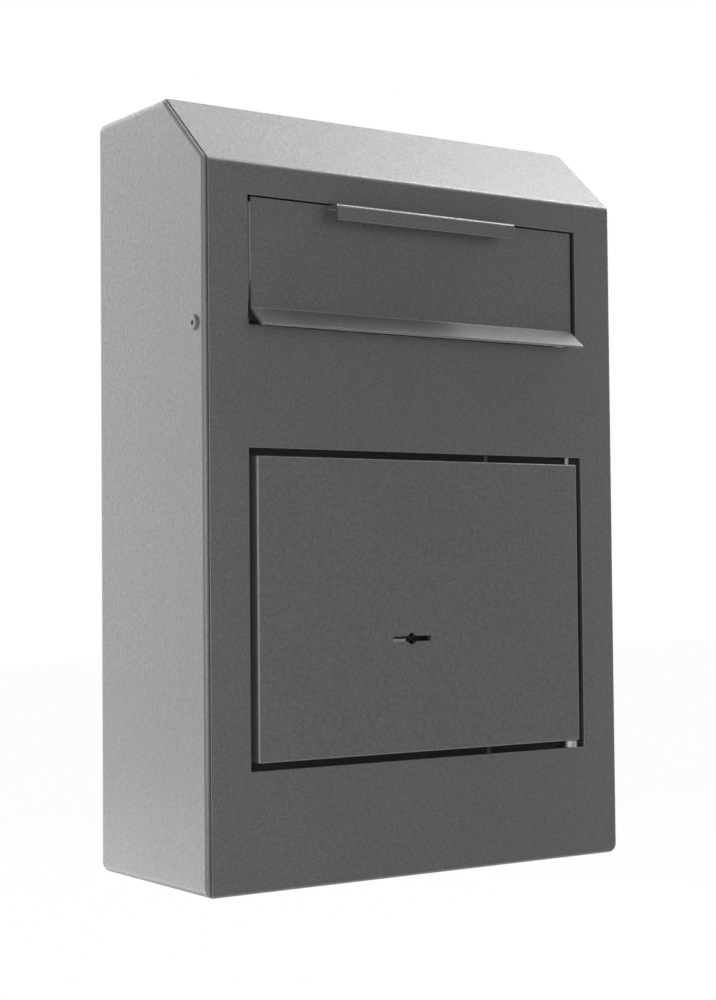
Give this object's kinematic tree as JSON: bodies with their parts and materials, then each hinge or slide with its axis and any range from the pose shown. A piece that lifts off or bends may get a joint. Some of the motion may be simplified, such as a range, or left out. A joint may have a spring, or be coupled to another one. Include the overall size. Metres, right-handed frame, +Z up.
{
  "type": "wall mounted mailbox",
  "caption": "Steel wall mailbox with a sloped top front, a tipping drop flap with drip lip and pull tab, and a keyed lock door over the letter compartment.",
  "frame": {"origin": "centre of the flat back that lies on the wall", "axes": "+X to the right of someone facing the box, +Y from the box into the wall, +Z up"},
  "size_m": [0.2664, 0.1238, 0.4],
  "materials": {
    "powder_coat": "fine textured powder coat, anthracite grey",
    "zinc_steel": "bright zinc plate",
    "screw_steel": "grey coated steel",
    "hard_steel": "dark hardened steel",
    "spring_steel": "blue grey spring strip",
    "brass": "turned and stamped",
    "rubber": "matte",
    "black_nylon": "moulded"
  },
  "bodies": {
    "cabinet": {"cabinet_shell": "powder_coat", "front_panel": "powder_coat", "hinge_bracket_upper": "powder_coat", "hinge_bracket_lower": "powder_coat", "hinge_washers": "zinc_steel", "jamb_strike": "powder_coat", "flap_pivot_rod": "zinc_steel", "pivot_screws": "screw_steel", "pivot_spacers": "black_nylon", "flap_rest_angle": "powder_coat", "flap_bumpers": "rubber", "anti_fish_baffle": "powder_coat", "baffle_rivets": "zinc_steel"},
    "drop_flap": {"drop_flap": "powder_coat", "deposit_tray": "powder_coat", "tray_rivets": "zinc_steel", "pivot_bushes": "black_nylon"},
    "lock_door": {"lock_door": "powder_coat", "hinge_pins": "zinc_steel", "drill_plate": "zinc_steel", "lock_case": "zinc_steel", "lock_cover": "zinc_steel", "lock_studs": "zinc_steel", "lock_nuts": "zinc_steel", "lever_springs": "spring_steel"},
    "key_rotor": {"key_rotor": "hard_steel"},
    "lock_bolt": {"lock_bolt": "hard_steel"},
    "lock_levers": {"lock_levers": "brass"}
  },
  "joints": [
    {"name": "flap_tip", "type": "hinge", "parent": "cabinet", "child": "drop_flap", "pos_m": [0, -0.1055, 0.0814], "axis": [1, 0, 0], "range_deg": [0, 48]},
    {"name": "door_swing", "type": "hinge", "parent": "cabinet", "child": "lock_door", "pos_m": [0.1018, -0.11, 0], "axis": [0, 0, 1], "range_deg": [0, 105]},
    {"name": "key_turn", "type": "hinge", "parent": "lock_door", "child": "key_rotor", "pos_m": [-0.0087, -0.106, -0.0771], "axis": [0, -1, 0], "range_deg": [0, 180]},
    {"name": "bolt_slide", "type": "slide", "parent": "lock_door", "child": "lock_bolt", "axis": [-1, 0, 0], "range_m": [0, 0.012]},
    {"name": "lever_lift", "type": "slide", "parent": "lock_door", "child": "lock_levers", "axis": [0, 0, 1], "range_m": [0, 0.0012], "stiffness_N_per_m": 300, "springref_m": -0.003, "deforming": ["lever_springs"]}
  ],
  "couplings": [
    {"joint": "key_turn", "follows": "bolt_slide", "rad_per_m": 261.8}
  ]
}
